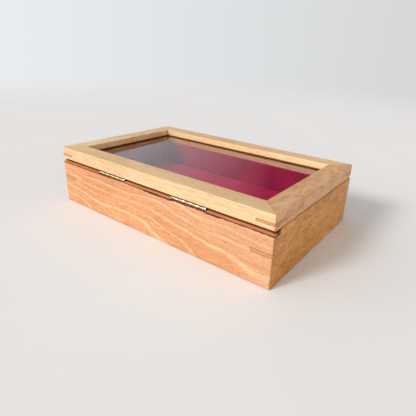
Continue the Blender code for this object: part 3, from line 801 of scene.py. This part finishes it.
def leaf_mesh(node, own, facing, axis):
    """Hinge leaf about the pin's axis, with the knuckles numbered in own.

    facing is 1 above the axis and -1 below it. The plate has rounded free corners and countersunk
    holes, and is cut back round the other leaf's knuckles.
    """
    low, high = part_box(node)
    half = (high.x - low.x) / 2
    width = axis.y - low.y
    barrel = high.y - axis.y - BARREL_TRIM
    room = high.y - axis.y + KNUCKLE_ROOM
    near = facing * PLATE_GAP
    far = facing * PLATE_OUTER
    plate = slab((-half, -width, min(near, far)), (half, 0, max(near, far)))
    upright = [edge for edge in plate.edges
               if abs(edge.verts[0].co.z - edge.verts[1].co.z) > (PLATE_OUTER - PLATE_GAP) / 2]
    free = [edge for edge in upright if edge.verts[0].co.y < -width / 2]
    bmesh.ops.bevel(plate, geom=free, offset=PLATE_CORNER, segments=5, profile=0.5, affect="EDGES")
    steps = []
    for index in range(KNUCKLES):
        if index not in own:
            steps.append(("DIFFERENCE", rod(room, *knuckle_span(index, half, -PLAY))))
    for index in own:
        steps.append(("UNION", rod(barrel, *knuckle_span(index, half, PLAY), chamfer=KNUCKLE_CHAMFER)))
    bore = rod(PIN_RADIUS + PIN_PLAY, -half - CUTTER_PAST, half + CUTTER_PAST)
    steps.append(("DIFFERENCE", bore))
    for x in SCREW_XS:
        steps.append(("DIFFERENCE", countersink(x, near, facing)))
    return carve(f"{node}_plate", plate, steps)


def screw_profile(length):
    """Half outline of a countersunk screw from the middle of its head, at z = 0, down to its point."""
    profile = [(0.0, 0.0), (SCREW_HEAD - HEAD_BEVEL, 0.0), (SCREW_HEAD, -HEAD_RIM),
               (SCREW_SHANK, -(SCREW_HEAD - SCREW_SHANK) - HEAD_FOOT)]
    z = -THREAD_MARGIN
    while z > -length + THREAD_MARGIN:
        profile += [(SCREW_SHANK, z), (SCREW_SHANK * THREAD_ROOT, z - THREAD_VALLEY * THREAD_PITCH),
                    (SCREW_SHANK, z - THREAD_END * THREAD_PITCH)]
        z -= THREAD_PITCH
    return profile + [(SCREW_SHANK * POINT_WIDTH, -length + SCREW_POINT), (0.0, -length)]


def screw_mesh(length):
    """Slotted countersunk screw, head up, with a turned thread."""
    bm = bmesh.new()
    verts = [bm.verts.new((radius, 0, z)) for radius, z in screw_profile(length)]
    edges = [bm.edges.new(pair) for pair in zip(verts, verts[1:])]
    bmesh.ops.spin(bm, geom=verts + edges, cent=(0, 0, 0), axis=(0, 0, 1), angle=2 * math.pi,
                   steps=SCREW_SIDES, use_merge=True)
    bmesh.ops.remove_doubles(bm, verts=bm.verts, dist=0.001 * MM)
    half_length, half_width, depth = DRIVER_SLOT[0] / 2, DRIVER_SLOT[1] / 2, DRIVER_SLOT[2]
    slot = slab((-half_length, -half_width, -depth), (half_length, half_width, CUTTER_PAST))
    return carve("screw_body", bm, [("DIFFERENCE", slot)])


def make_hinges(material):
    """Two leaves, a pin and six screws for each hinge, in the places of their CAD nodes."""
    def stand_for(node, mesh, body, location=(0, 0, 0), turn=(0, 0, 0)):
        obj = bpy.data.objects.new(f"brass_{node}", mesh)
        obj.location = location
        obj.rotation_euler = turn
        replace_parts(dress_piece(obj, material, body, smooth_angle=30), node)

    axis = Vector(HINGE["pos_m"])
    leaves = {"case": leaf_mesh("left_hinge_case_leaf", CASE_KNUCKLES, -1, axis),
              "lid": leaf_mesh("left_hinge_lid_leaf", LID_KNUCKLES, 1, axis)}
    low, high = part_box("left_hinge_case_screw_1")
    screw = screw_mesh(high.z - low.z)
    for label, slot_start in SLOT_STARTS.items():
        low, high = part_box(f"{label}_case_leaf")
        half = (high.x - low.x) / 2
        middle = Vector(((low.x + high.x) / 2, axis.y, axis.z))
        for body, mesh in leaves.items():
            stand_for(f"{label}_{body}_leaf", mesh.copy(), body, middle)
        pin = mesh_of(f"brass_{label}_pin", rod(PIN_RADIUS, -half, half, chamfer=PIN_CHAMFER))
        pin.transform(Matrix.Translation(middle))
        stand_for(f"{label}_pin", pin, "case")
        for body, flip in (("case", 0.0), ("lid", math.pi)):
            for number in (1, 2, 3):
                node = f"{label}_{body}_screw_{number}"
                low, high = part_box(node)
                head = ((low.x + high.x) / 2, (low.y + high.y) / 2, low.z if flip else high.z)
                turn = math.radians(slot_start + SLOT_STEP * number)
                stand_for(node, screw.copy(), body, head, (flip, 0, turn))


# ---------------------------------------------------------------- stage, lights, camera

FLOOR_RADIUS = 1.9
FLOOR_DROP = 0.2 * MM
FADE_START = 0.3  # of the floor's radius, where it starts to turn clear
FADE_END = 0.98
FLOOR_TONES = (linear(240, 241, 243), linear(237, 238, 240))

# The backdrop turns from cool white to grey towards this side.
BACKDROP_COOL = linear(233, 237, 240)
BACKDROP_GREY = linear(213, 214, 215)
BACKDROP_ACROSS = Vector((-0.805, -0.594, 0.0))
BACKDROP_SPAN = (-0.5, 0.5)

# Light of the room round the tray: a low level everywhere, with brighter sides.
SKY_TOP = 0.56
SKY_LOW = 0.03
SKY_RISE = (0.42, 0.9)  # heights between which the low level turns into the top one
SKY_TINT = (0.97, 0.985, 1.0)
GLOW_SIDES = (
    # towards, start and end of the rise (as cosines), colour reached
    (Vector((0.906, 0.423, 0.0)), 0.04, 0.40, (0.60, 0.59, 0.62)),
    (Vector((-0.95, 0.30, 0.0)), 0.08, 0.9, (1.02, 0.82, 0.57)),
    (Vector((0.69, 0.70, 0.18)), 0.80, 0.94, (1.30, 1.28, 1.20)),
)

KEY_FROM = Vector((0.42, 1.0, 0.68)).normalized()
KEY_ANGLE = math.radians(16)
KEY_STRENGTH = 1.72
KEY_COLOUR = (1.0, 0.98, 0.955)

CAMERA_AT = Vector((-0.22694, 0.28253, 0.16407))
CAMERA_AIM = Vector((-0.0231, 0.00598, 0.03))
CAMERA_ROLL = math.radians(2.269)
CAMERA_LENS = 31.137
CAMERA_SHIFT = (-0.01923, -0.04363)


def make_stage():
    """Round pale table top that fades out into the backdrop."""
    bm = bmesh.new()
    bmesh.ops.create_circle(bm, cap_ends=True, segments=96, radius=FLOOR_RADIUS)
    mesh = bpy.data.meshes.new("table")
    bm.to_mesh(mesh)
    bm.free()
    floor = bpy.data.objects.new("table", mesh)
    bpy.context.scene.collection.objects.link(floor)
    floor.location.z = -FLOOR_DROP

    material, tree = new_tree("table_white")
    local = tree.add("ShaderNodeTexCoord").outputs["Object"]
    faint = tree.noise(local, scale=6, detail=3)
    base = tree.mix(tree.remap(faint, 0.3, 0.7), FLOOR_TONES[0], FLOOR_TONES[1])
    paper = tree.add("ShaderNodeBsdfDiffuse", {"Color": base})
    clear = tree.add("ShaderNodeBsdfTransparent")
    reach = tree.remap(tree.vector("LENGTH", local), FADE_START * FLOOR_RADIUS, FADE_END * FLOOR_RADIUS,
                       smooth=True)
    both = tree.add("ShaderNodeMixShader", {0: reach, 1: paper.outputs[0], 2: clear.outputs[0]})
    tree.add("ShaderNodeOutputMaterial", {"Surface": both.outputs[0]})
    mesh.materials.append(material)


def make_world():
    """Pale backdrop to the eye; the light itself comes more from some sides of the room."""
    world = bpy.data.worlds.new("studio")
    bpy.context.scene.world = world
    tree = Tree(world)
    direction = tree.add("ShaderNodeTexCoord").outputs["Generated"]
    glow = tuple(SKY_LOW * channel for channel in SKY_TINT)
    for towards, start, end, reached in GLOW_SIDES:
        side = tree.remap(tree.vector("DOT_PRODUCT", direction, towards), start, end)
        glow = tree.vector("ADD", tree.vector("MULTIPLY", side, reached), glow)
    height = tree.add("ShaderNodeSeparateXYZ", {0: direction}).outputs[2]
    level = tree.remap(height, *SKY_RISE, smooth=True)
    top = tuple(SKY_TOP * channel for channel in SKY_TINT)
    colour = tree.mix(level, glow, top)
    light = tree.add("ShaderNodeBackground", {"Color": colour, "Strength": 1.0})
    across = tree.remap(tree.vector("DOT_PRODUCT", direction, BACKDROP_ACROSS), *BACKDROP_SPAN)
    backdrop = tree.mix(across, BACKDROP_COOL, BACKDROP_GREY)
    seen = tree.add("ShaderNodeBackground", {"Color": backdrop, "Strength": 1.0})
    # The eye sees the backdrop directly, and also straight through the pane.
    path = tree.add("ShaderNodeLightPath").outputs
    straight = tree.maths("LESS_THAN", tree.maths("ADD", path["Diffuse Depth"], path["Glossy Depth"]), 0.5)
    through = tree.maths("MULTIPLY", path["Is Transmission Ray"], straight)
    eye = tree.maths("MAXIMUM", path["Is Camera Ray"], through)
    both = tree.add("ShaderNodeMixShader", {0: eye, 1: light.outputs[0], 2: seen.outputs[0]})
    tree.add("ShaderNodeOutputWorld", {"Surface": both.outputs[0]})


def make_key_light():
    lamp = bpy.data.lights.new("window_light", "SUN")
    lamp.angle = KEY_ANGLE
    lamp.energy = KEY_STRENGTH
    lamp.color = KEY_COLOUR
    obj = bpy.data.objects.new("window_light", lamp)
    bpy.context.scene.collection.objects.link(obj)
    obj.rotation_euler = (-KEY_FROM).to_track_quat("-Z", "Y").to_euler()


def make_camera():
    data = bpy.data.cameras.new("camera")
    data.lens = CAMERA_LENS
    data.sensor_width = 36.0
    data.shift_x, data.shift_y = CAMERA_SHIFT
    data.clip_start = 0.01
    camera = bpy.data.objects.new("camera", data)
    bpy.context.scene.collection.objects.link(camera)
    upright = (CAMERA_AIM - CAMERA_AT).to_track_quat("-Z", "Y").to_matrix()
    camera.matrix_world = (Matrix.Translation(CAMERA_AT) @ upright.to_4x4()
                           @ Matrix.Rotation(CAMERA_ROLL, 4, "Z"))
    bpy.context.scene.camera = camera


# ---------------------------------------------------------------- build

bpy.context.scene.view_settings.view_transform = "Standard"
dress_timber()
lit_pad_velvet = velvet("velvet_pad_lit", 1, PAD_CRIMSON_LIT)
shaded_wall_velvet = velvet("velvet_wall_shaded", 2, WALL_CRIMSON_SHADED)
brass_finish = brass("hinge_brass")
make_linings(shaded_wall_velvet)
make_pad(lit_pad_velvet)
make_hinges(brass_finish)
paint("pad_board", card("maroon_card"))
paint("glass_pane", pane_glass("pane_glass"))
# The seal is dark as painted shade: it stands for the shadow line at the foot of the rails.
seal_low, seal_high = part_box("glass_seal")
paint("glass_seal", seal_shadow_line("seal_painted_shadow", seal_low.z, seal_high.z))

make_stage()
make_world()
make_key_light()
make_camera()
